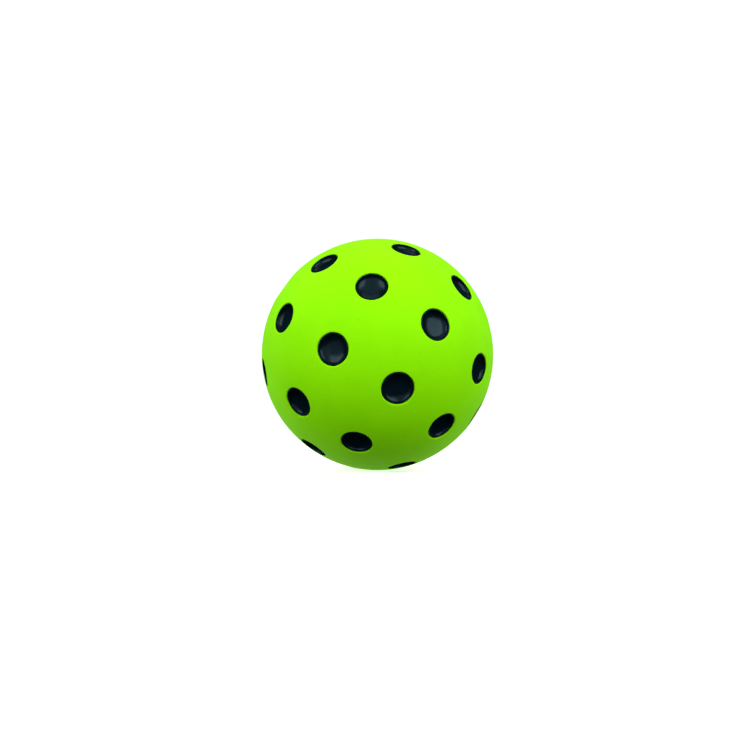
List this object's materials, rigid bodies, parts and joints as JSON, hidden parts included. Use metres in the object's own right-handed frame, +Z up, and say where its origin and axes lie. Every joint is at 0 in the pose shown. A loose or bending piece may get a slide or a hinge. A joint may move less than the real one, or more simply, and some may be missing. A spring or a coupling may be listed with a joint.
{
  "type": "pickleball ball",
  "caption": "Hollow moulded plastic court ball in half shells joined at a seam, with rings of round holes closed from inside by dark dished cups.",
  "frame": {"origin": "centre of the ball", "axes": "+Y along the axis that the hole pattern turns about, from the front half's pole to the rear half's; +Z up; the seam lies in the XZ plane"},
  "size_m": [0.074, 0.074, 0.074],
  "materials": {
    "shell_plastic": "satin, fine moulded grain, lime green",
    "cup_plastic": "satin, near-black navy"
  },
  "bodies": {
    "root": {"front_half_shell": "shell_plastic", "front_pole_cup_1": "cup_plastic", "front_pole_cup_2": "cup_plastic", "front_pole_cup_3": "cup_plastic", "front_pole_cup_4": "cup_plastic", "front_middle_cup_1": "cup_plastic", "front_middle_cup_2": "cup_plastic", "front_middle_cup_3": "cup_plastic", "front_middle_cup_4": "cup_plastic", "front_middle_cup_5": "cup_plastic", "front_middle_cup_6": "cup_plastic", "front_middle_cup_7": "cup_plastic", "front_middle_cup_8": "cup_plastic", "front_seam_cup_1": "cup_plastic", "front_seam_cup_2": "cup_plastic", "front_seam_cup_3": "cup_plastic", "front_seam_cup_4": "cup_plastic", "front_seam_cup_5": "cup_plastic", "front_seam_cup_6": "cup_plastic", "front_seam_cup_7": "cup_plastic", "front_seam_cup_8": "cup_plastic", "rear_half_shell": "shell_plastic", "rear_pole_cup_1": "cup_plastic", "rear_pole_cup_2": "cup_plastic", "rear_pole_cup_3": "cup_plastic", "rear_pole_cup_4": "cup_plastic", "rear_middle_cup_1": "cup_plastic", "rear_middle_cup_2": "cup_plastic", "rear_middle_cup_3": "cup_plastic", "rear_middle_cup_4": "cup_plastic", "rear_middle_cup_5": "cup_plastic", "rear_middle_cup_6": "cup_plastic", "rear_middle_cup_7": "cup_plastic", "rear_middle_cup_8": "cup_plastic", "rear_seam_cup_1": "cup_plastic", "rear_seam_cup_2": "cup_plastic", "rear_seam_cup_3": "cup_plastic", "rear_seam_cup_4": "cup_plastic", "rear_seam_cup_5": "cup_plastic", "rear_seam_cup_6": "cup_plastic", "rear_seam_cup_7": "cup_plastic", "rear_seam_cup_8": "cup_plastic"}
  },
  "joints": []
}
